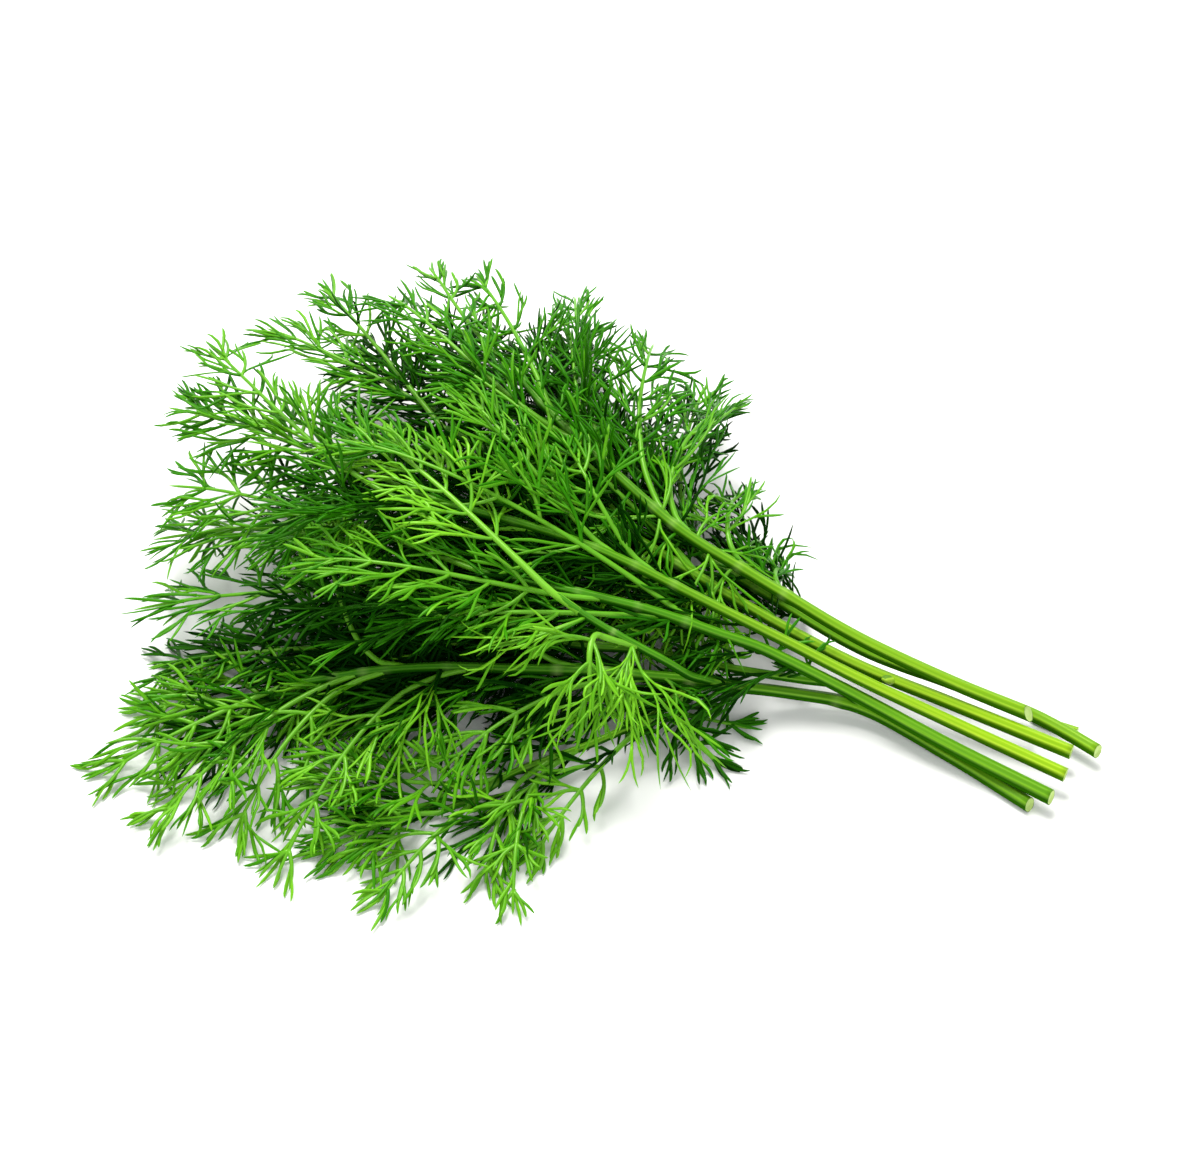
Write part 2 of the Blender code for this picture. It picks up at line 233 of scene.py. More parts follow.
def frond_routes(node):
    """Midrib of a packed frond, and the foot, elbow and tip of each of its leaflets."""
    rings = rings_of(node, RING_LINK)
    along = [r for r in rings
             if (r.square and r.radius > MIDRIB_RADIUS) or r.corners >= JUNCTION]
    foot = max((r for r in along if r.square), key=lambda ring: ring.radius).middle
    along.sort(key=lambda ring: np.linalg.norm(ring.middle - foot))
    midrib = np.array([r.middle for r in along])
    fine = smooth_route(midrib)
    leaflets = []
    for tip in rings:
        if not tip.square or tip.radius > TIP_RADIUS:
            continue
        elbow = rings[min(tip.near)]
        joint = min((rings[k] for k in elbow.near if rings[k] is not tip),
                    key=lambda ring: np.linalg.norm(ring.middle - elbow.middle))
        root = fine[np.argmin(np.linalg.norm(fine - joint.middle, axis=1))]
        leaflets.append((root, elbow.middle, tip.middle))
    leaflets.sort(key=lambda leaflet: np.linalg.norm(leaflet[0] - foot))
    return midrib, leaflets


# ---------------------------------------------------------------- routes and bars

def smooth_route(points, steps=12):
    """A Catmull-Rom curve through the points, as a finely stepped line."""
    knots = np.vstack([2 * points[0] - points[1], points, 2 * points[-1] - points[-2]])
    fine = []
    for a, b, c, d in zip(knots, knots[1:], knots[2:], knots[3:]):
        for t in np.linspace(0, 1, steps, endpoint=False):
            fine.append(0.5 * (2 * b + (c - a) * t + (2 * a - 5 * b + 4 * c - d) * t ** 2
                               + (3 * b - a - 3 * c + d) * t ** 3))
    return np.array(fine + [points[-1]])


def lengths_along(line):
    return np.concatenate([[0], np.cumsum(np.linalg.norm(np.diff(line, axis=0), axis=1))])


def read_line(line, fractions):
    """Points and directions at fractions of a line's length."""
    lengths = lengths_along(line)
    at = np.asarray(fractions) * lengths[-1]
    step = 0.5 * MM
    places = [np.column_stack([np.interp(where, lengths, line[:, k]) for k in range(3)])
              for where in (at, np.maximum(at - step, 0), np.minimum(at + step, lengths[-1]))]
    return places[0], unit(places[2] - places[1])


def unit(vectors):
    return vectors / np.maximum(np.linalg.norm(vectors, axis=-1, keepdims=True), 1e-12)


def select_where(test, kind="VERT"):
    """Selects the vertices or edges of the mesh in edit mode that pass a test."""
    bpy.ops.mesh.select_mode(type=kind)
    bpy.ops.mesh.select_all(action="DESELECT")
    mesh = bmesh.from_edit_mesh(bpy.context.object.data)
    for item in mesh.verts if kind == "VERT" else mesh.edges:
        item.select = test(item)
    mesh.select_flush_mode()
    bmesh.update_edit_mesh(bpy.context.object.data)


def ring_at(height):
    return lambda vertex: abs(vertex.co.z - height) < 1e-5


def start_bar(name, sides):
    """Adds an upright bar of unit radius and length, and opens it in edit mode."""
    bpy.ops.object.select_all(action="DESELECT")
    bpy.ops.mesh.primitive_cylinder_add(vertices=sides, radius=1.0, depth=1.0,
                                        location=(0, 0, 0.5), rotation=(0, 0, -math.pi / 2))
    bpy.context.active_object.name = name
    bpy.ops.object.transform_apply(location=True, rotation=True, scale=True)
    bpy.ops.object.mode_set(mode="EDIT")


BARS = {                     # sides, then heights and the widths there
    # a leaf thread: fullest at its middle
    "thread": (6, [(0.0, 0.80), (0.14, 0.68), (0.38, 0.77), (0.64, 0.84), (0.85, 0.65),
                   (0.95, 0.36)]),
    # a leaflet's rib: thins slowly and ends like a thread
    "rib": (6, [(0.0, 1.0), (0.10, 0.96), (0.22, 0.92), (0.35, 0.88), (0.48, 0.84),
                (0.61, 0.80), (0.73, 0.76), (0.84, 0.70), (0.92, 0.52), (0.97, 0.30)]),
    # a frond's midrib: many rings, so that it bends smoothly
    "midrib": (8, [(k / 28, 1.0 - 0.58 * k / 28) for k in range(28)] + [(0.985, 0.25)]),
    # the stub of a torn leaf: a short sheath, wide at its foot, with a flat end
    "stub": (12, [(0.0, 1.5), (0.25, 1.6), (0.55, 1.35), (0.8, 1.0), (1.0, 0.65)])}


def tapered_bar(name):
    """A bar of BARS: cut at each height, drawn in there, and pointed unless its end is given."""
    sides, shape = BARS[name]
    start_bar(name, sides)
    for height, _ in shape:
        if 0 < height < 1:
            bpy.ops.mesh.select_all(action="SELECT")
            bpy.ops.mesh.bisect(plane_co=(0, 0, height), plane_no=(0, 0, 1))
    for height, size in shape:
        select_where(ring_at(height))
        bpy.ops.transform.resize(value=(size, size, 1), center_override=(0, 0, height))
    if shape[-1][0] < 1:
        select_where(ring_at(1.0))
        bpy.ops.mesh.merge(type="CENTER")
    return finished_bar()


HOLLOW_PER_LENGTH = 0.18     # length of the stem that the hollow's depth is a part of


def stem_bar(settings, rings=120):
    """A stem: eight ribs with grooves between them, each six sides wide, and a hollow cut."""
    start_bar("stem", 48)
    select_where(lambda edge: abs(edge.verts[0].co.z - edge.verts[1].co.z) > 0.5, "EDGE")
    bpy.ops.mesh.subdivide(number_cuts=rings)
    step = math.pi / 24
    for places, drawn in (((1, 5), 0.15), ((2, 4), 0.7), ((3,), 1.0)):
        size = 1.0 - drawn * settings.ridge
        select_where(lambda v: round(math.atan2(v.co.y, v.co.x) / step) % 6 in places)
        bpy.ops.transform.resize(value=(size, size, 1), center_override=(0, 0, 0))
    bpy.ops.mesh.select_mode(type="FACE")
    bpy.ops.mesh.select_all(action="DESELECT")
    mesh = bmesh.from_edit_mesh(bpy.context.object.data)
    for face in mesh.faces:
        face.select = face.normal.z < -0.9
    bmesh.update_edit_mesh(bpy.context.object.data)
    for size, sink in ((0.86, 0.0), (0.78, settings.hollow / HOLLOW_PER_LENGTH), (0.6, 0.0)):
        bpy.ops.mesh.extrude_region_move(TRANSFORM_OT_translate={"value": (0, 0, sink)})
        bpy.ops.transform.resize(value=(size, size, 1), center_override=(0, 0, 0))
    return finished_bar()


def finished_bar():
    """Closes edit mode and reads the bar into arrays that `bend` can copy along routes."""
    bpy.ops.mesh.select_all(action="SELECT")
    bpy.ops.mesh.normals_make_consistent(inside=False)
    bpy.ops.object.mode_set(mode="OBJECT")
    piece = bpy.context.active_object
    mesh = piece.data
    places = np.array([v.co for v in mesh.vertices])
    heights, station = np.unique(np.round(places[:, 2], 6), return_inverse=True)
    loops, totals, along, around, cap = [], [], [], [], []
    for face in mesh.polygons:
        corners = list(face.vertices)
        co = places[corners]
        radius = np.hypot(co[:, 0], co[:, 1])
        turn = (np.arctan2(co[:, 1], co[:, 0]) / (2 * math.pi)) % 1.0
        flat = abs(face.normal.z) > 0.95
        if not flat:
            real = radius > 1e-6
            if np.ptp(turn[real]) > 0.5:
                turn = np.where(turn < 0.5, turn + 1.0, turn)
            turn = np.where(real, turn, turn[real].mean())
        loops += corners
        totals.append(len(corners))
        along += list(co[:, 0] if flat else co[:, 2])
        around += list(co[:, 1] if flat else turn)
        cap += [flat] * len(corners)
    bpy.data.objects.remove(piece, do_unlink=True)
    return SimpleNamespace(x=places[:, 0], y=places[:, 1], station=station.reshape(-1),
                           heights=heights, loops=np.array(loops), totals=np.array(totals),
                           along=np.array(along), around=np.array(around), cap=np.array(cap))


def bend(bar, middles, ways, facing, widths, depths):
    """Corners of copies of a bar, laid along routes read at the bar's own heights."""
    sides = unit(np.cross(facing, ways))
    ups = np.cross(ways, sides)
    s = bar.station
    return (middles[:, s] + sides[:, s] * (bar.x * widths[:, s])[..., None]
            + ups[:, s] * (bar.y * depths[:, s])[..., None])


def joined_mesh(name, parts):
    """One mesh of bent bars; parts are (bar, corners, map places) with one row a copy."""
    mesh = bpy.data.meshes.new(name)
    loops, before = [], 0
    for bar, places, _ in parts:
        copies, count = places.shape[:2]
        starts = before + np.arange(copies) * count
        loops.append((bar.loops[None, :] + starts[:, None]).ravel())
        before += copies * count
    loops = np.concatenate(loops)
    corners = np.vstack([places.reshape(-1, 3) for _, places, _ in parts])
    totals = np.concatenate([np.tile(bar.totals, len(places)) for bar, places, _ in parts])
    maps = np.vstack([uv.reshape(-1, 2) for _, _, uv in parts])
    mesh.vertices.add(len(corners))
    mesh.vertices.foreach_set("co", corners.astype(np.float32).ravel())
    mesh.loops.add(len(loops))
    mesh.loops.foreach_set("vertex_index", loops.astype(np.int32))
    mesh.polygons.add(len(totals))
    starts = np.concatenate([[0], np.cumsum(totals)[:-1]])
    mesh.polygons.foreach_set("loop_start", starts.astype(np.int32))
    mesh.update(calc_edges=True)
    layer = mesh.uv_layers.new(name=MAP)
    layer.data.foreach_set("uv", maps.astype(np.float32).ravel())
    mesh.shade_smooth()
    return mesh


def placed_piece(mesh, material, node=None):
    """Links a finished mesh as a piece of the bunch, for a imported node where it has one."""
    piece = bpy.data.objects.new(mesh.name, mesh)
    bpy.context.scene.collection.objects.link(piece)
    mesh.materials.append(material)
    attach(piece, BODY)
    if node:
        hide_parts(node)


def over_bench(middles):
    """Lifts what would sink into the bench, softly."""
    z = middles[..., 2]
    middles[..., 2] = 0.5 * (z + BENCH + np.sqrt((z - BENCH) ** 2 + (0.6 * MM) ** 2))
    return middles


# ---------------------------------------------------------------- fronds

class Canopy:
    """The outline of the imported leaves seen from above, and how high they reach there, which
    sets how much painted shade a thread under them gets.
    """

    CELL = 2.0 * MM
    MARGIN = 1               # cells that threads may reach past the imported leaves
    SPREAD = 3               # cells over which the highest leaf counts
    EDGE = 12                # empty cells kept round the leaves

    def __init__(self, lines):
        points = np.vstack([read_line(line, np.linspace(0, 1, 24))[0] for line in lines])
        self.low = points[:, :2].min(axis=0) - self.EDGE * self.CELL
        size = np.ceil((points[:, :2].max(axis=0) - self.low) / self.CELL).astype(int)
        top = np.zeros(size + self.EDGE)
        cells = ((points[:, :2] - self.low) / self.CELL).astype(int)
        np.maximum.at(top, (cells[:, 0], cells[:, 1]), points[:, 2])
        self.room = self.widened(top, self.MARGIN) > 0
        self.top = self.widened(top, self.SPREAD)

    def widened(self, field, cells):
        """Each cell's highest value within so many cells of it."""
        wide = field.copy()
        for i in range(-cells, cells + 1):
            for j in range(-cells, cells + 1):
                if i * i + j * j <= cells * cells:
                    wide = np.maximum(wide, np.roll(field, (i, j), (0, 1)))
        return wide

    def cell(self, place):
        return (int((place[0] - self.low[0]) / self.CELL),
                int((place[1] - self.low[1]) / self.CELL))

    def has(self, place):
        i, j = self.cell(place)
        inside = 0 <= i < self.room.shape[0] and 0 <= j < self.room.shape[1]
        return inside and bool(self.room[i, j])

    def depth(self, place):
        """How far a place lies under the highest leaves there."""
        i, j = self.cell(place)
        return max(self.top[i, j] - place[2], 0.0) if self.has(place) else 0.0


class Clearing:
    """Room kept free in front of the stems and the uppermost frond, so that they show."""

    LEAST = 0.8 * MM         # threads closer than this to a stem's middle may stay

    def __init__(self, routes, way, width):
        self.points = np.vstack(routes)
        self.way, self.width = np.array(way), width

    def blocks(self, curve):
        places = np.array([point_on(curve, t) for t in (0.3, 0.5, 0.75, 1.0)])
        away = places[:, None, :] - self.points[None, :, :]
        over = away @ self.way
        aside = (away ** 2).sum(axis=-1) - over ** 2
        return bool(((over > self.LEAST) & (aside < self.width ** 2)).any())


class Leafage:
    """The ribs and threads of one frond, each a cubic curve with width, facing and tone."""

    # painted shade: a thread deeper in the bunch gets a darker tone
    TONE_DEPTH = 5.0 * MM    # a thread this much deeper in the bunch is a tone darker
    DARK = 3                 # ribs no lighter than this have their threads' tone
    TRIES = 5                # turns towards its rib before a thread outside is left out
    SHORTER, CLOSER = 0.94, 0.80       # what a turn does to a thread's length and angle
    BOW = 0.13               # how far a thread bows, as a part of its length
    LEAST_LENGTH = 8.0 * MM
    FORK_LENGTHS = (10.5 * MM, 14.0 * MM)        # threads longer than these have 1, 2 forks
    FIRST_FORK, NEXT_FORK = 0.22, 0.18           # places of the forks along a thread
    FIRST_THREAD, THREADS = 0.13, 0.58           # where the threads start on a rib, and span

    def __init__(self, settings, dice, tone, broad, canopy, clearing, curl=1.0, sweep=1.0,
                 bounded=True):
        self.settings, self.dice, self.tone, self.broad = settings, dice, tone, broad
        self.canopy, self.clearing, self.curl, self.sweep = canopy, clearing, curl, sweep
        self.bounded = bounded
        self.rows = {"thread": [], "rib": []}

    def shade(self, place, spread=0.9):
        """Tone of a thread: painted shade makes it darker the deeper it lies in the bunch."""
        tone = self.tone - self.canopy.depth(place) / self.TONE_DEPTH
        tone += self.dice.gauss(0, spread)
        return min(max(round(tone), 0), RIB_TONE - 1)

    def hidden_by(self, curve):
        return self.clearing is not None and self.clearing.blocks(curve)

    def add(self, kind, curve, width, depth, facing, tone):
        points = [x for point in curve for x in point]
        self.rows[kind].append([*points, width, depth, *facing, tone])

    def branch(self, place, along, facing, side, reach, fork, forks):
        """A thread that leaves its rib at an angle, with `forks` smaller ones on it."""
        s, dice = self.settings, self.dice
        across = facing.cross(along).normalized() * side
        lift = dice.uniform(-s.stray, s.stray)
        for _ in range(self.TRIES):
            out = along * math.cos(fork) + across * math.sin(fork)
            out = (out * math.cos(lift) + facing * math.sin(lift)).normalized()
            if not self.bounded or self.canopy.has(place + (out * 0.95 + along * 0.1) * reach):
                break
            reach, fork = reach * self.SHORTER, fork * self.CLOSER
        else:
            return
        bow = across * dice.uniform(-0.6, 1) + facing * dice.uniform(-1, 1)
        bow *= self.BOW * reach
        end = (out * 0.84 + along * 0.20) * reach - bow * 0.6 * self.curl
        end.z -= reach * s.droop * dice.uniform(0.0, 2.0) * self.curl
        curve = (place - along * 0.3 * MM,
                 place + along * 0.14 * reach + out * 0.17 * reach,
                 place + out * 0.64 * reach + bow * self.curl,
                 place + end)
        if self.hidden_by(curve):
            return
        width = 0.5 * s.thread_width * self.broad * dice.uniform(0.86, 1.12)
        depth = 0.5 * s.thread_depth * self.broad * dice.uniform(0.9, 1.1)
        tilt = facing + across * dice.uniform(-0.6, 0.6)
        self.add("thread", curve, width, depth, tilt, self.shade(place))
        way = dice.choice((-1, 1))
        for k in range(forks):
            t = self.FIRST_FORK + self.NEXT_FORK * k + dice.uniform(-0.05, 0.08)
            here, course = point_on(curve, t), way_on(curve, t)
            self.branch(here, course, facing, way, reach * (1.0 - t) * dice.uniform(0.85, 1.1),
                        s.fork * dice.uniform(0.65, 1.0), 0)
            way = -way

    def leaflet(self, curve, facing, with_rib=True):
        """A leaflet: a rib with alternate forked threads that reach towards its own tip."""
        s, dice = self.settings, self.dice
        if self.hidden_by(curve):
            return
        length = (curve[3] - curve[0]).length
        if with_rib:
            width = 0.5 * s.rib_width * self.broad
            tone = min(self.shade(curve[0]), self.shade(curve[3]))
            tone = RIB_TONE + dice.choice((0, 1)) if tone > self.DARK else tone
            self.add("rib", curve, width, width * 0.75, facing, tone)
        steps = max(3, round(length / s.fork_step))
        side = dice.choice((-1, 1))
        for k in range(steps):
            t = (k + dice.uniform(-0.25, 0.25)) / (steps - 1)
            t = self.FIRST_THREAD + self.THREADS * t
            here, along = point_on(curve, max(t, 0.05)), way_on(curve, max(t, 0.05))
            reach = min(s.thread_length * self.sweep * self.broad * dice.uniform(0.8, 1.25),
                        length * (1.32 - t) * self.sweep * dice.uniform(0.85, 1.1))
            reach = max(reach, self.LEAST_LENGTH)
            forks = sum(reach > least for least in self.FORK_LENGTHS)
            fork = s.fork * (1.12 - 0.4 * t) * dice.uniform(0.75, 1.2) / self.sweep
            self.branch(here, along, facing, side, reach, fork, forks)
            side = -side

    def parts(self, bars):
        """The rows bent into corners and map places, for `joined_mesh`."""
        made = []
        for kind, rows in self.rows.items():
            if not rows:
                continue
            bar, table = bars[kind], np.array(rows)
            curves = table[:, :12].reshape(-1, 4, 3)
            t = bar.heights[None, :, None]
            curve = [curves[:, k, None, :] for k in range(4)]
            middles, ways = point_on(curve, t), unit(slope_on(curve, t))
            facing = np.broadcast_to(table[:, None, 14:17], ways.shape)
            wide = np.repeat(table[:, 12:13], len(bar.heights), axis=1)
            deep = np.repeat(table[:, 13:14], len(bar.heights), axis=1)
            corners = bend(bar, over_bench(middles), ways, facing, wide, deep)
            made.append((bar, corners, leaf_map(bar, table[:, 17])))
        return made


def point_on(curve, t):
    a, b, c, d = curve
    return (a * (1 - t) ** 3 + b * 3 * (1 - t) ** 2 * t + c * 3 * (1 - t) * t ** 2 + d * t ** 3)


def slope_on(curve, t):
    a, b, c, d = curve
    return (b - a) * (1 - t) ** 2 + (c - b) * 2 * (1 - t) * t + (d - c) * t ** 2


def way_on(curve, t):
    return slope_on(curve, t).normalized()


def leaf_map(bar, tones):
    """Map places of copies of a bar: along the thread, and around it inside its tone's row."""
    along = np.where(bar.cap, 0.03 + 0.02 * bar.along, bar.along)
    around = np.where(bar.cap, 0.5 + 0.3 * bar.around, bar.around)
    rows = (tones[:, None] + 0.1 + 0.8 * around[None, :]) / TONES
    return np.stack([np.broadcast_to(along, rows.shape), rows], axis=-1)


def leaflet_curve(root, elbow, tip):
    """The cubic curve that leaves `root`, passes `elbow` half way and ends at `tip`."""
    root, elbow, tip = Vector(root), Vector(elbow), Vector(tip)
    pull = 2 * elbow - (root + tip) / 2
    return root, root.lerp(pull, 2 / 3), tip.lerp(pull, 2 / 3), tip


def upward(facing):
    """A facing, turned over where it looks down."""
    return Vector(facing if facing[2] > 0 else -facing)


def carrier_of(node):
    """Name of the stem or branch that a frond or branch leaves."""
    if node.startswith("branch"):
        return "stem_6"
    return CARRIERS.get(node[6], "stem_" + node[6])


def with_foot(route, carrier, foot):
    """The route drawn back into the stem that it leaves, so that the two grow together."""
    line = smooth_route(carrier)
    lengths = lengths_along(line)
    near = np.argmin(np.linalg.norm(line - route[0], axis=1))
    back = max(lengths[near] - foot, 0.0)
    start, _ = read_line(line, [back / lengths[-1]])
    return np.vstack([start, (start + route[0]) / 2, route])


SIDE_ROLL = (15, 70)         # degrees that a side leaflet turns out of its midrib's plane
SIDE_FORK = (30, 48)         # degrees between its first half and the midrib
SIDE_BEND = math.radians(16)           # how much nearer to the midrib its second half runs


def bent_way(root, way, out, length, first, second):
    """Elbow and tip of a leaflet whose halves leave `way` towards `out` at two angles."""
    elbow = root + 0.5 * length * (way * math.cos(first) + out * math.sin(first))
    return elbow, elbow + 0.5 * length * (way * math.cos(second) + out * math.sin(second))


def turned_leaflets(fine, reach, places, dice):
    """Leaflets on both sides of a midrib, turned out of its plane."""
    for place in places:
        (root,), (way,) = read_line(fine, [place])
        level = unit(np.cross(way, (0, 0, 1)))
        above = np.cross(level, way)
        for side in (-1, 1):
            roll = math.radians(dice.uniform(*SIDE_ROLL)) * dice.choice((-1, 1))
            out = side * level * math.cos(roll) + above * math.sin(roll)
            length = reach * (1.15 - 0.55 * place) * dice.uniform(0.7, 1.0)
            fork = math.radians(dice.uniform(*SIDE_FORK))
            elbow, tip = bent_way(root, way, out, length, fork, fork - SIDE_BEND)
            yield leaflet_curve(root, elbow, tip), upward(np.cross(way, out))


def midrib_part(midrib, carrier, bar, width, tone, foot):
    """The bar, corners and map places of a midrib that leaves its stem."""
    rail = smooth_route(with_foot(midrib, stem_route(carrier)[0], foot))
    middles, ways = read_line(rail, bar.heights)
    wide = np.full((1, len(bar.heights)), 0.5 * width)
    up = np.broadcast_to(np.array([0.0, 0.0, 1.0]), ways.shape)
    corners = bend(bar, over_bench(middles[None]), ways[None], up[None], wide, wide * 0.85)
    return bar, corners, leaf_map(bar, np.array([tone]))


def grow_frond(node, routes, canopy, clearing, bars, settings, foot, material):
    """Builds one frond over its packed midrib and leaflets."""
    midrib, leaflets = routes[node]
    dice = random.Random(f"{node} {settings.seed}")
    front = (BACK - midrib[-1][1]) / DEPTH       # 0 at the back of the bunch, 1 at its front
    broad = SLIM + FULLER * min(max(front, 0.0), 1.0)
    light = node in LIGHT
    tone = TONE_OF.get(node, TONE + TONE_OF_STEM.get(node[6], 0.0) + dice.uniform(-1.0, 1.0))
    leafage = Leafage(settings, dice, tone, broad, canopy, None if light else clearing,
                      curl=2.2 if light else 1.0, sweep=1.25 if light else 1.0)
    fine = smooth_route(midrib)
    lengths = lengths_along(fine)
    feet = []
    for root, elbow, tip in leaflets:
        near = np.argmin(np.linalg.norm(fine - root, axis=1))
        feet.append(round(lengths[near] / lengths[-1], 2))
        _, way = read_line(fine, [feet[-1]])
        facing = upward(np.cross(way[0], tip - root)).normalized()
        leafage.leaflet(leaflet_curve(root, elbow, tip), facing)
    if not light:
        reach = np.mean([np.linalg.norm(tip - root) for root, _, tip in leaflets])
        feet = sorted(set(feet))
        between = [(a + b) / 2 for a, b in zip(feet, feet[1:]) if b - a > BETWEEN] + [0.16]
        deep = [p for p in between if canopy.depth(read_line(fine, [p])[0][0]) > DEEP]
        for curve, facing in turned_leaflets(fine, reach, deep, dice):
            leafage.leaflet(curve, facing)
    ends, _ = read_line(fine, [0.72, 0.86, 1.0])
    curve = leaflet_curve(*ends)
    along = way_on(curve, 0.5)
    leafage.leaflet(curve, (Vector((0, 0, 1)) - along * along.z).normalized(), with_rib=False)
    width = settings.midrib_width * (1.25 if light else 1.0)
    tone = RIB_TONE + (3 if light else dice.choice((0, 1, 2)))
    parts = leafage.parts(bars)
    parts.append(midrib_part(midrib, carrier_of(node), bars["midrib"], width, tone, foot))
    placed_piece(joined_mesh("dill_" + node, parts), material, node)


# the tones of the inner leaves are low: painted shade deep in the bunch
INNER_LEAVES = (             # stem, first and last place, how many, length, tone, kept clear
    ("stem_1", 0.42, 0.58, 4, 24, 2.6, False), ("stem_1", 0.58, 0.98, 8, 40, 3.4, True),
    ("stem_2", 0.48, 0.60, 4, 26, 1.8, False), ("stem_2", 0.58, 0.98, 9, 40, 3.0, True),
    ("stem_3", 0.44, 0.60, 6, 26, 1.6, False), ("stem_3", 0.60, 0.98, 8, 40, 3.0, True),
    ("stem_4", 0.46, 0.62, 6, 28, 1.2, False), ("stem_4", 0.62, 0.98, 8, 38, 2.6, True),
    ("stem_5", 0.44, 0.62, 7, 28, 1.0, False), ("stem_5", 0.62, 0.98, 9, 38, 2.4, True),
    ("stem_6", 0.42, 0.60, 7, 24, 1.2, False), ("stem_6", 0.60, 0.98, 12, 38, 2.6, True),
    ("branch_1", 0.10, 0.98, 11, 34, 2.0, True), ("branch_3", 0.30, 0.95, 3, 34, 3.4, True),
    ("branch_1", 0.72, 0.99, 6, 54, 3.4, True), ("stem_5", 0.90, 0.99, 4, 52, 3.6, True))


def grow_inner_leaves(canopy, clearing, bars, settings, material):
    """Leaves low in the middle of the bunch, along the upper part of each stem, dark with painted
    shade.
    """
    for node in sorted({row[0] for row in INNER_LEAVES}):
        dice = random.Random(f"inner {node} {settings.seed}")
        leafage = Leafage(settings, dice, 0.0, 0.92, canopy, None)
        line = smooth_route(stem_route(node)[0])
        for _, first, last, count, longest, tone, clear in (
                row for row in INNER_LEAVES if row[0] == node):
            leafage.tone, leafage.clearing = tone, clearing if clear else None
            for k in range(count):
                place = first + (last - first) * (k + dice.uniform(-0.3, 0.3)) / (count - 1)
                (root,), (way,) = read_line(line, [min(place, 0.99)])
                grow_spray(leafage, root, way, longest * dice.uniform(0.8, 1.15) * MM,
                           (-1) ** k, clear)
        mesh = joined_mesh("dill_inner_leaves_" + node, leafage.parts(bars))
        placed_piece(mesh, material)


SPRAY_TRIES, SPRAY_SHORTER = 7, 0.85   # how often, and how much, an inner leaf is cut back
SPRAY_SIDES = (0.15, 0.4, 0.65)        # places of its side leaflets


def grow_spray(leafage, root, way, length, side, clear):
    """One inner leaf: a midrib that leaves its stem sideways and down, and its leaflets."""
    dice = leafage.dice
    level = unit(np.cross(way, (0, 0, 1)))
    above = np.cross(level, way)
    roll = math.radians(dice.uniform(0, 65) if clear else dice.uniform(25, 80))
    out = side * level * math.cos(roll) - above * math.sin(roll)
    if not clear:
        root = root + out * 1.5 * MM
    for _ in range(SPRAY_TRIES):
        fork = math.radians(dice.uniform(22, 46))
        elbow, tip = bent_way(root, way, out, length, fork, 0.5 * fork)
        elbow[2], tip[2] = max(elbow[2], 2 * BENCH), max(tip[2], 2 * BENCH)
        if leafage.canopy.has(tip):
            break
        length *= SPRAY_SHORTER
    leafage.leaflet(leaflet_curve(root, elbow, tip), upward(np.cross(way, out)))
    midrib = smooth_route(np.array([root, elbow, tip]))
    for curve, facing in turned_leaflets(midrib, 0.62 * length, SPRAY_SIDES, dice):
        leafage.leaflet(curve, facing)


WISPS = (                    # stem, place along it, way, length, tone of the threads, curl
    ("stem_1", 0.545, (-0.35, -0.85, -0.25), 30, 6.5, 4),
    ("stem_1", 0.55, (0.1, -0.8, -0.5), 24, 5.5, 4),
    ("stem_1", 0.635, (-0.7, -0.7, -0.1), 34, 7.0, 3),
    ("stem_1", 0.64, (-0.2, -0.9, -0.3), 28, 6.0, 4),
    ("stem_1", 0.54, (0.75, 0.25, -0.3), 13, 5.5, 5),
    ("stem_1", 0.57, (0.3, 0.75, 0.1), 15, 5.6, 4),
    ("stem_1", 0.64, (-0.2, 0.85, 0.2), 20, 6.0, 3),
    ("stem_3", 0.52, (0.2, -0.9, -0.1), 20, 4.0, 3),
    ("stem_1", 0.60, (-0.15, -0.85, -0.35), 36, 6.8, 4),
    ("stem_1", 0.70, (-0.5, -0.8, -0.1), 34, 6.4, 4),
    ("stem_1", 0.50, (-0.1, -0.8, -0.5), 26, 6.2, 5),
    ("stem_2", 0.58, (0.1, 0.85, 0.2), 15, 5.2, 5),
    ("stem_5", 0.44, (0.35, 0.9, 0.35), 9, 2.5, 3),
    ("stem_5", 0.50, (0.2, 0.9, 0.5), 9, 2.5, 3),
    ("stem_6", 0.46, (0.4, 0.8, 0.3), 13, 5.5, 4),
    ("stem_6", 0.52, (0.5, -0.7, 0.2), 12, 4.0, 4),
    ("branch_2", 0.42, (0.35, -0.9, -0.1), 28, 8.6, 2),
    ("branch_2", 0.43, (-0.35, -0.9, -0.1), 32, 8.4, 2),
    ("branch_2", 0.44, (0.75, -0.6, -0.2), 26, 8.0, 3),
    ("branch_2", 0.75, (-0.85, -0.5, 0.0), 30, 7.8, 3),
    ("stem_6", 0.80, (-0.2, -0.9, 0.1), 30, 7.0, 3),
    ("stem_6", 0.80, (0.4, -0.85, 0.1), 24, 6.6, 3))


def grow_wisps(canopy, bars, settings, material):
    """Small curled leaves that hang from the stems' nodes."""
    dice = random.Random(f"wisps {settings.seed}")
    leafage = Leafage(settings, dice, 0.0, 0.90, canopy, None, sweep=1.15, bounded=False)
    for node, place, way, length, leafage.tone, leafage.curl in WISPS:
        (root,), _ = read_line(smooth_route(stem_route(node)[0]), [place])
        way = unit(np.array(way))
        level = unit(np.cross(way, (0, 0, 1)))
        elbow = root + 0.5 * length * MM * way + 0.12 * length * MM * level * dice.choice((-1, 1))
        tip = root + length * MM * way - np.array([0, 0, 0.2 * length * MM])
        tip[2] = max(tip[2], 2 * BENCH)
        leafage.leaflet(leaflet_curve(root, elbow, tip), Vector(np.cross(level, way)))
    placed_piece(joined_mesh("dill_wisps", leafage.parts(bars)), material)


CLEAR_STEMS = {              # how far from its cut each stem shows in front of the leaves
    "stem_1": 0.72, "stem_2": 0.45, "stem_3": 0.50, "stem_4": 0.86, "stem_5": 0.60,
    "stem_6": 0.92, "branch_1": 0.25, "branch_2": 1.0, "frond_8a": 0.80}


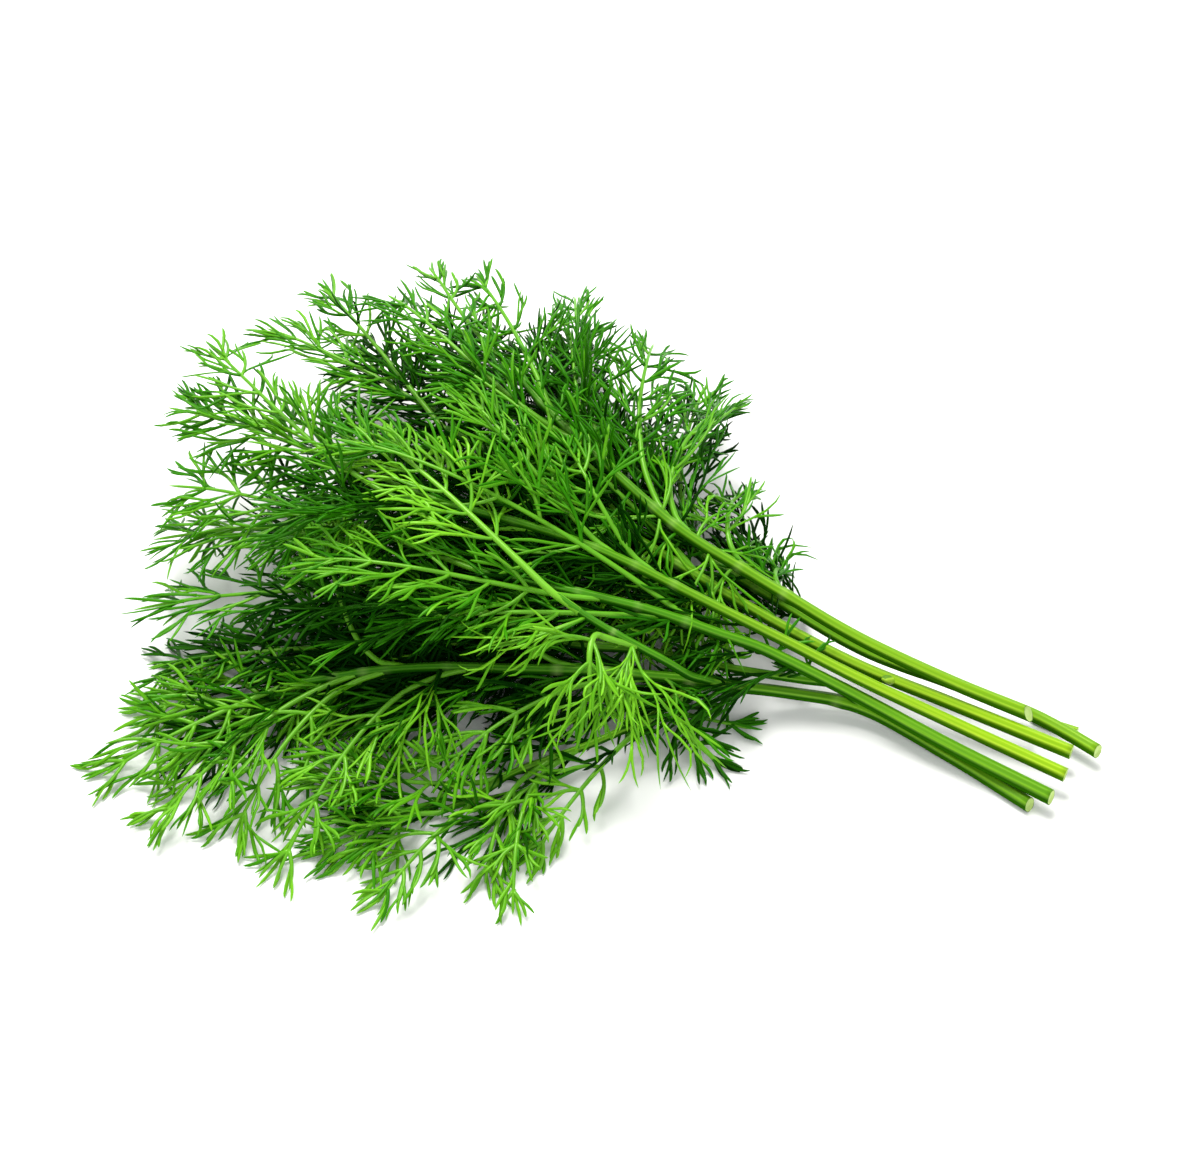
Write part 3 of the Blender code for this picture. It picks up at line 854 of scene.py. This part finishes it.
def kept_clear(stage, width):
    """The clearing in front of the stems named in CLEAR_STEMS, towards the camera."""
    lines = []
    for node, share in CLEAR_STEMS.items():
        route = frond_routes(node)[0] if node.startswith("frond") else stem_route(node)[0]
        lines.append(read_line(smooth_route(route), np.linspace(0, share, 40))[0])
    return Clearing(lines, view_way(stage), width)


def view_way(stage):
    """Direction from the bunch towards the camera."""
    turn, rise = stage.azimuth, stage.elevation
    return Vector((math.sin(turn) * math.cos(rise), -math.cos(turn) * math.cos(rise),
                   math.sin(rise)))


class DILL_OT_grow_fronds(bpy.types.Operator):
    """Grow every frond over its packed midrib and leaflets"""

    bl_idname = "dill.grow_fronds"
    bl_label = "Grow Fronds"

    def execute(self, context):
        scene = context.scene
        material = leaf_material(scene.dill_colours)
        bars = {name: tapered_bar(name) for name in ("thread", "rib", "midrib")}
        nodes = sorted(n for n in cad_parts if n.startswith("frond"))
        if not nodes:
            raise RuntimeError("the frame holds no fronds to grow over")
        routes = {node: frond_routes(node) for node in nodes}
        canopy = Canopy([midrib for midrib, _ in routes.values()]
                        + [np.array(leaflet) for _, leaflets in routes.values()
                           for leaflet in leaflets])
        clearing = kept_clear(scene.dill_stage, scene.dill_stem.clear)
        for node in nodes:
            grow_frond(node, routes, canopy, clearing, bars, scene.dill_leaf,
                       scene.dill_stem.foot, material)
        grow_inner_leaves(canopy, clearing, bars, scene.dill_leaf, material)
        grow_wisps(canopy, bars, scene.dill_leaf, material)
        return {"FINISHED"}


# ---------------------------------------------------------------- stems

def node_places(node, line):
    """Lengths along a stem at which its fronds and branches leave it."""
    found = []
    lengths = lengths_along(line)
    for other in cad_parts:
        if other.startswith("stem") or carrier_of(other) != node or other == node:
            continue
        route = frond_routes(other)[0] if other.startswith("frond") else stem_route(other)[0]
        near = np.argmin(np.linalg.norm(line - route[0], axis=1))
        if near < len(line) - 2:
            found.append(lengths[near])
    return sorted(found)


STEMS = {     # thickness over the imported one, slope of the cut, pale nodes, yellow at the cut
    "stem_1": (1.04, 0.85, 0.15, 0.60), "stem_2": (1.04, 0.25, 0.10, 0.50),
    "stem_3": (1.04, 0.10, 0.10, 0.95), "stem_4": (1.04, 0.10, 0.10, 1.00),
    "stem_5": (1.12, 0.20, 0.10, 0.22), "stem_6": (1.14, 0.30, 0.26, 0.25),
    "stem_stub": (1.04, 0.10, 0.10, 0.70), "branch_1": (1.04, 0.10, 0.10, 0.10),
    "branch_2": (1.04, 0.10, 0.26, 0.00), "branch_3": (1.04, 0.10, 0.10, 0.20)}
STUBS = {"stem_3": (0.262, 1.0, 3.2 * MM)}           # torn leaves: place, side, length
SLANT_LENGTH = 8.0 * MM      # stretch over which a slanting cut fades
YELLOW_LENGTH = 95 * MM      # stretch over which the yellow at the cut fades
END_LENGTH = 1.5 * MM        # stretch over which the far end of a stem is rounded
SWELL_PLACE, SWELL_WIDTH = 2.0 * MM, 1.9 * MM        # swelling before each node
COLLAR_PLACE, COLLAR_WIDTH = 1.2 * MM, 0.7 * MM      # pale ring before each node


def torn_stub(node, line, radius, stub):
    """Corners and map places of the stub of a leaf that was torn off a stem."""
    place, side, length = STUBS[node]
    (root,), (way,) = read_line(line, [place])
    level = unit(np.cross((0, 0, 1), way))
    out = unit(0.45 * way + 0.9 * side * level + np.array([0, 0, 0.75]))
    middles = root + out * (0.3 * radius + stub.heights[:, None] * length)
    ways = np.broadcast_to(out, middles.shape)
    facing = np.broadcast_to(np.cross(out, way), middles.shape)
    wide = np.full((1, len(stub.heights)), 0.42 * radius)
    corners = bend(stub, middles[None], ways[None], facing[None], 1.5 * wide, wide)
    along = np.where(stub.cap, 0.02 + 0.015 * stub.along, 0.05 + 0.1 * stub.along)
    around = np.where(stub.cap, 0.5 + 0.4 * stub.around, stub.around)
    return stub, corners, np.stack([along, around], -1)[None]


def grow_stem(node, bar, stub, settings, material):
    """Builds the ribbed skin of one stem, swollen and pale at its nodes."""
    route, radii = stem_route(node)
    if node.startswith("branch"):
        carrier, _ = stem_route("stem_6")
        longer = with_foot(route, carrier, settings.foot)
        radii = np.concatenate([np.full(len(longer) - len(route), radii[0]), radii])
        route = longer
    line = smooth_route(route)
    lengths = lengths_along(line)
    middles, ways = read_line(line, bar.heights)
    at = bar.heights * lengths[-1]
    full, slant, paleness, yellow = STEMS[node]
    swell, collar = np.zeros(len(at)), np.zeros(len(at))
    for mark in node_places(node, line) if node != "stem_stub" else []:
        swell = np.maximum(swell, np.exp(-((at - mark + SWELL_PLACE) / SWELL_WIDTH) ** 2))
        collar = np.maximum(collar, np.exp(-((at - mark + COLLAR_PLACE) / COLLAR_WIDTH) ** 2))
    knots = np.linspace(0, lengths[-1], len(radii))
    wide = np.interp(at, knots, radii) * (1 + settings.swell * swell) * full
    end = np.clip((lengths[-1] - at) / END_LENGTH, 0, 1)
    wide = wide * np.sqrt(np.clip(1 - (1 - end) ** 2, 0.04, 1))
    up = np.broadcast_to(np.array([0.0, 0.0, 1.0]), ways.shape)
    corners = bend(bar, middles[None], ways[None], up[None], wide[None], wide[None])
    s = bar.station
    fade = np.clip(1 - at[s] / SLANT_LENGTH, 0, 1)
    corners[0] += ways[s] * (slant * (1 + bar.y) * wide[s] * fade)[:, None]
    along = np.where(bar.cap, 0.02 + 0.015 * bar.along, 0.04 + 0.96 * bar.along)
    around = np.where(bar.cap, 0.5 + 0.4 * bar.around, bar.around + 0.25)
    parts = [(bar, corners, np.stack([along, around], -1)[None])]
    cut_face = np.hypot(bar.x, bar.y) < 0.88
    pale = np.where(cut_face, 1.0, paleness * collar[s])
    ripe = yellow * np.exp(-(at[s] / YELLOW_LENGTH) ** 2)
    if node in STUBS:
        parts.append(torn_stub(node, line, radii[0], stub))
        pale = np.append(pale, np.full(len(stub.station), 0.12))
        ripe = np.append(ripe, np.full(len(stub.station), 1.0))
    mesh = joined_mesh("dill_" + node, parts)
    for name, values in (("pale", pale), ("ripe", ripe)):
        layer = mesh.attributes.new(name, "FLOAT", "POINT")
        layer.data.foreach_set("value", values.astype(np.float32))
    placed_piece(mesh, material, node)


class DILL_OT_grow_stems(bpy.types.Operator):
    """Give every stem and branch its ribbed skin, nodes and cut face"""

    bl_idname = "dill.grow_stems"
    bl_label = "Grow Stems"

    def execute(self, context):
        scene = context.scene
        material = stem_material(scene.dill_colours)
        bar, stub = stem_bar(scene.dill_stem), tapered_bar("stub")
        nodes = sorted(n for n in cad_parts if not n.startswith("frond"))
        if not nodes:
            raise RuntimeError("the frame holds no stems to grow over")
        for node in nodes:
            grow_stem(node, bar, stub, scene.dill_stem, material)
        return {"FINISHED"}


# ---------------------------------------------------------------- materials

class Nodes:
    """Short ways to add and join shader nodes in one tree."""

    def __init__(self, tree):
        self.tree = tree

    def add(self, kind, **settings):
        node = self.tree.nodes.new(kind)
        for name, value in settings.items():
            setattr(node, name, value)
        return node

    def put(self, value, socket):
        """Joins a socket to another, or sets its constant."""
        if isinstance(value, bpy.types.NodeSocket):
            self.tree.links.new(value, socket)
        else:
            socket.default_value = value

    def math(self, operation, *values, clamp=False):
        node = self.add("ShaderNodeMath", operation=operation, use_clamp=clamp)
        for value, socket in zip(values, node.inputs):
            self.put(value, socket)
        return node.outputs[0]

    def mix(self, factor, a, b, blend="MIX"):
        """Mixes two colours by a factor."""
        node = self.add("ShaderNodeMix", data_type="RGBA", blend_type=blend)
        self.put(factor, node.inputs["Factor"])
        self.put(a, node.inputs["A"])
        self.put(b, node.inputs["B"])
        return node.outputs["Result"]

    def tinted(self, colour, tint):
        return self.mix(1.0, colour, (*tint, 1.0), "MULTIPLY")

    def ramp(self, value, stops):
        node = self.add("ShaderNodeValToRGB")
        ramp = node.color_ramp
        while len(ramp.elements) < len(stops):
            ramp.elements.new(0.5)
        for element, (place, colour) in zip(ramp.elements, stops):
            element.position = place
            element.color = (*colour, 1.0)
        self.put(value, node.inputs["Fac"])
        return node.outputs["Color"]


def fibre_group():
    """Fine streaks along a thread or stem: a light and dark mask and a height."""
    tree = bpy.data.node_groups.new("fibre_streaks", "ShaderNodeTree")
    for name, low in (("Along", 0.0), ("Around", 0.0), ("Length", 1.0), ("Fineness", 1.0)):
        socket = tree.interface.new_socket(name, in_out="INPUT", socket_type="NodeSocketFloat")
        socket.default_value = low
    for name in ("Mask", "Height"):
        tree.interface.new_socket(name, in_out="OUTPUT", socket_type="NodeSocketFloat")
    n = Nodes(tree)
    given = n.add("NodeGroupInput").outputs
    place = n.add("ShaderNodeCombineXYZ")
    n.put(n.math("MULTIPLY", given["Along"], given["Length"]), place.inputs["X"])
    n.put(n.math("MULTIPLY", given["Around"], given["Fineness"]), place.inputs["Y"])
    noise = n.add("ShaderNodeTexNoise", noise_dimensions="2D")
    n.put(place.outputs["Vector"], noise.inputs["Vector"])
    n.put(1.0, noise.inputs["Scale"])
    n.put(3.0, noise.inputs["Detail"])
    result = n.add("NodeGroupOutput")
    middle = n.math("SUBTRACT", noise.outputs["Fac"], 0.5)
    n.put(n.math("MULTIPLY_ADD", middle, 2.2, 0.5, clamp=True), result.inputs["Mask"])
    n.put(noise.outputs["Fac"], result.inputs["Height"])
    return tree


def fibres(n, **inputs):
    """Adds the streaks to a material and gives their mask and height."""
    node = n.add("ShaderNodeGroup")
    node.node_tree = bpy.data.node_groups.get("fibre_streaks") or fibre_group()
    for name, value in inputs.items():
        n.put(value, node.inputs[name])
    return node.outputs


def new_material(name, tint=(1.0, 1.0, 1.0)):
    """A material with its nodes and its shader."""
    material = bpy.data.materials.new(name)
    material.use_nodes = True
    shader = material.node_tree.nodes["Principled BSDF"]
    shader.inputs["Specular Tint"].default_value = (*tint, 1.0)
    return material, Nodes(material.node_tree), shader


def map_place(n):
    """Places along and around a thread or stem."""
    spot = n.add("ShaderNodeSeparateXYZ")
    n.put(n.add("ShaderNodeUVMap", uv_map=MAP).outputs["UV"], spot.inputs["Vector"])
    return spot.outputs["X"], spot.outputs["Y"]


def finish_surface(n, shader, colour, specular, streaks, rough, relief, grain, bump):
    """Joins colour, gloss and relief to the shader; `rough` is a span and a least value."""
    n.put(colour, shader.inputs["Base Color"])
    n.put(n.math("MULTIPLY_ADD", streaks["Mask"], *rough), shader.inputs["Roughness"])
    n.put(specular, shader.inputs["Specular IOR Level"])
    node = n.add("ShaderNodeBump")
    for name, value in zip(("Strength", "Distance"), bump):
        n.put(value, node.inputs[name])
    height = n.math("ADD", relief, n.math("MULTIPLY", streaks["Height"], grain))
    n.put(height, node.inputs["Height"])
    n.put(node.outputs["Normal"], shader.inputs["Normal"])


def leaf_material(colours):
    """Threads and ribs: a tone for each, margins lighter with a painted highlight, paler feet and
    yellower tips.
    """
    material, n, shader = new_material("dill_leaf", (0.80, 1.0, 0.45))
    along, across = map_place(n)
    rows = n.math("MULTIPLY", across, TONES)
    tone = n.math("DIVIDE", n.math("ADD", n.math("FLOOR", rows), 0.5), TONES)
    around = n.math("DIVIDE", n.math("SUBTRACT", n.math("FRACT", rows), 0.1), 0.8)
    light_rib = tuple(0.5 * (a + b) for a, b in zip(colours.rib, colours.leaf_bright))
    # the darker thread rows carry the painted shade of threads deep in the bunch
    base = n.ramp(tone, [
        (0.04, colours.leaf_deep), (0.26, colours.leaf_mid), (0.60, colours.leaf_bright),
        (0.64, colours.rib), (0.78, colours.rib), (0.84, light_rib),
        (0.92, colours.leaf_pale), (0.97, colours.leaf_pale)])
    # painted highlight: lighter margins along each thread; the same wave also gives the relief
    wave = n.math("COSINE", n.math("MULTIPLY", around, 4 * math.pi))
    margin = n.math("MULTIPLY", n.math("ADD", wave, 1.0), 0.5)
    lighter = n.tinted(base, (1.45, 1.30, 1.2))
    colour = n.mix(n.math("MULTIPLY", n.math("POWER", margin, 2.0), 0.5), base, lighter)
    foot = n.math("SUBTRACT", 1.0, n.math("MULTIPLY", along, 6.0), clamp=True)
    tip = n.math("MULTIPLY", n.math("SUBTRACT", along, 0.80), 4.0, clamp=True)
    colour = n.mix(n.math("MULTIPLY", foot, 0.5), colour, lighter)
    colour = n.mix(n.math("MULTIPLY", tip, 0.3), colour, lighter)
    streaks = fibres(n, Along=along, Around=rows, Length=9.0, Fineness=7.0)
    darker = n.tinted(colour, (0.62, 0.70, 0.60))
    colour = n.mix(n.math("MULTIPLY", streaks["Mask"], 0.45), colour, darker)
    finish_surface(n, shader, colour, n.math("MULTIPLY", tone, 0.50), streaks,
                   (0.14, 0.25), margin, 0.8, (0.25, 0.05 * MM))
    return material


def stem_material(colours):
    """Stems: light ridges and streaks, the ridges partly pale ribs and partly a painted
    highlight; painted shade in the grooves and towards each stem's underside; yellower towards
    the cut, pale at nodes and cuts.
    """
    material, n, shader = new_material("dill_stem", (0.85, 1.0, 0.45))
    along, around = map_place(n)
    pale, ripe = (n.add("ShaderNodeAttribute", attribute_name=name).outputs["Fac"]
                  for name in ("pale", "ripe"))
    colour = n.mix(ripe, (*colours.stem_green, 1.0), (*colours.stem_yellow, 1.0))
    wave = n.math("COSINE", n.math("MULTIPLY", around, 16 * math.pi))
    ridge = n.math("POWER", n.math("MULTIPLY", n.math("ADD", wave, 1.0), 0.5), 2.0)
    groove = n.math("POWER", n.math("MULTIPLY", n.math("SUBTRACT", 1.0, wave), 0.5), 2.0)
    # painted shade: darker towards the underside of each stem; the same mask lowers the gloss
    # there
    turn = n.math("COSINE", n.math("MULTIPLY", around, 2 * math.pi))
    under = n.math("MULTIPLY", n.math("ADD", turn, 0.66), 2.6, clamp=True)
    streaks = fibres(n, Along=along, Around=around, Length=22.0, Fineness=30.0)
    bands = fibres(n, Along=along, Around=around, Length=1.6, Fineness=16.0)
    # ridge crests lighter: partly pale ribs, partly a painted highlight
    crest = n.mix(ripe, (*colours.stem_ridge, 1.0), (*colours.ripe_ridge, 1.0))
    lit = n.math("MULTIPLY", n.math("MULTIPLY_ADD", ridge, 0.6, 0.3), bands["Mask"])
    colour = n.mix(lit, colour, crest)
    darker = n.tinted(colour, (0.30, 0.55, 0.20))
    # painted shade in the grooves between the ridges
    colour = n.mix(n.math("MULTIPLY", groove, 0.28), colour, darker)
    dull = n.math("MULTIPLY", n.math("SUBTRACT", 1.0, bands["Mask"]), 0.45)
    colour = n.mix(dull, colour, darker)
    colour = n.mix(n.math("MULTIPLY", streaks["Mask"], 0.30), colour, darker)
    # the colour of the painted shade on the underside
    shaded = n.tinted(colour, (0.10, 0.28, 0.05))
    colour = n.mix(n.math("MULTIPLY", under, 0.92), colour, shaded)
    colour = n.mix(n.math("MULTIPLY", pale, 0.85), colour, (*colours.pale, 1.0))
    gloss = n.math("MULTIPLY", n.math("SUBTRACT", 1.0, under), 0.30)
    finish_surface(n, shader, colour, gloss, streaks, (0.16, 0.26), ridge, 0.6,
                   (0.3, 0.08 * MM))
    return material


def floor_material():
    """A smooth pale floor with the faintest mottling."""
    material, n, shader = new_material("pale_floor")
    noise = n.add("ShaderNodeTexNoise")
    n.put(9.0, noise.inputs["Scale"])
    n.put(n.add("ShaderNodeTexCoord").outputs["Object"], noise.inputs["Vector"])
    mottled = n.ramp(noise.outputs["Fac"],
                     [(0.3, (0.895, 0.895, 0.89)), (0.7, (0.915, 0.915, 0.91))])
    n.put(mottled, shader.inputs["Base Color"])
    n.put(0.75, shader.inputs["Roughness"])
    n.put(0.2, shader.inputs["Specular IOR Level"])
    return material


# ---------------------------------------------------------------- stage

LIGHTS = (                   # name, place from the aim, diameter, watts, colour
    ("key_light", (-0.55, 0.75, 1.5), 1.1, 50.0, (1.0, 0.99, 0.96)),
    ("fill_light", (0.9, -1.2, 1.1), 1.4, 9.0, (0.97, 0.99, 1.0)))


def soft_light(name, offset, aim, size, power, colour):
    """An area light beside `aim` that faces it."""
    bpy.ops.object.light_add(type="AREA", location=aim + Vector(offset))
    light = bpy.context.active_object
    light.name = name
    light.data.shape = "DISK"
    light.data.size = size
    light.data.energy = power
    light.data.color = colour
    light.rotation_euler = (-Vector(offset)).to_track_quat("-Z", "Y").to_euler()


class DILL_OT_set_stage(bpy.types.Operator):
    """Set the pale floor, the studio light and the camera"""

    bl_idname = "dill.set_stage"
    bl_label = "Set Stage"

    def execute(self, context):
        scene, stage = context.scene, context.scene.dill_stage
        bpy.ops.object.select_all(action="DESELECT")
        bpy.ops.mesh.primitive_plane_add(size=stage.floor)
        floor = bpy.context.active_object
        floor.name = "floor"
        floor.data.materials.append(floor_material())
        aim = Vector(stage.aim)
        for name, offset, size, power, colour in LIGHTS:
            soft_light(name, offset, aim, size, power, colour)
        world = bpy.data.worlds.new("studio")
        world.use_nodes = True
        backdrop = world.node_tree.nodes["Background"]
        backdrop.inputs["Color"].default_value = (0.99, 1.0, 0.97, 1.0)
        backdrop.inputs["Strength"].default_value = 0.72
        scene.world = world
        scene.view_settings.view_transform = "Standard"
        back = view_way(stage)
        bpy.ops.object.camera_add(location=aim + back * stage.distance)
        camera = bpy.context.active_object
        camera.name = "camera"
        camera.data.lens = stage.lens
        camera.data.clip_start = 0.01
        camera.rotation_euler = (-back).to_track_quat("-Z", "Y").to_euler()
        scene.camera = camera
        return {"FINISHED"}


# ---------------------------------------------------------------- add-on

class DILL_PT_panel(bpy.types.Panel):
    """Sizes, colours and steps of the dill bunch"""

    bl_label = "Dill Bunch"
    bl_idname = "DILL_PT_panel"
    bl_space_type = "VIEW_3D"
    bl_region_type = "UI"
    bl_category = "Dill"

    def draw(self, context):
        for group in ("dill_leaf", "dill_stem", "dill_colours", "dill_stage"):
            settings = getattr(context.scene, group)
            box = self.layout.box()
            for name in settings.__annotations__:
                box.prop(settings, name)
        for operator in STEPS:
            self.layout.operator(operator.bl_idname)


STEPS = (DILL_OT_grow_stems, DILL_OT_grow_fronds, DILL_OT_set_stage)
GROUPS = {"dill_leaf": DillLeafSettings, "dill_stem": DillStemSettings,
          "dill_colours": DillColours, "dill_stage": DillStageSettings}


def register():
    for group in GROUPS.values():
        bpy.utils.register_class(group)
    for name, group in GROUPS.items():
        setattr(bpy.types.Scene, name, PointerProperty(type=group))
    for item in (*STEPS, DILL_PT_panel):
        bpy.utils.register_class(item)


def unregister():
    for item in (DILL_PT_panel, *reversed(STEPS)):
        bpy.utils.unregister_class(item)
    for name in GROUPS:
        delattr(bpy.types.Scene, name)
    for group in reversed(GROUPS.values()):
        bpy.utils.unregister_class(group)


def main():
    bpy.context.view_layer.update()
    register()
    bpy.ops.dill.grow_stems()
    bpy.ops.dill.grow_fronds()
    bpy.ops.dill.set_stage()


if __name__ == "__main__":
    main()
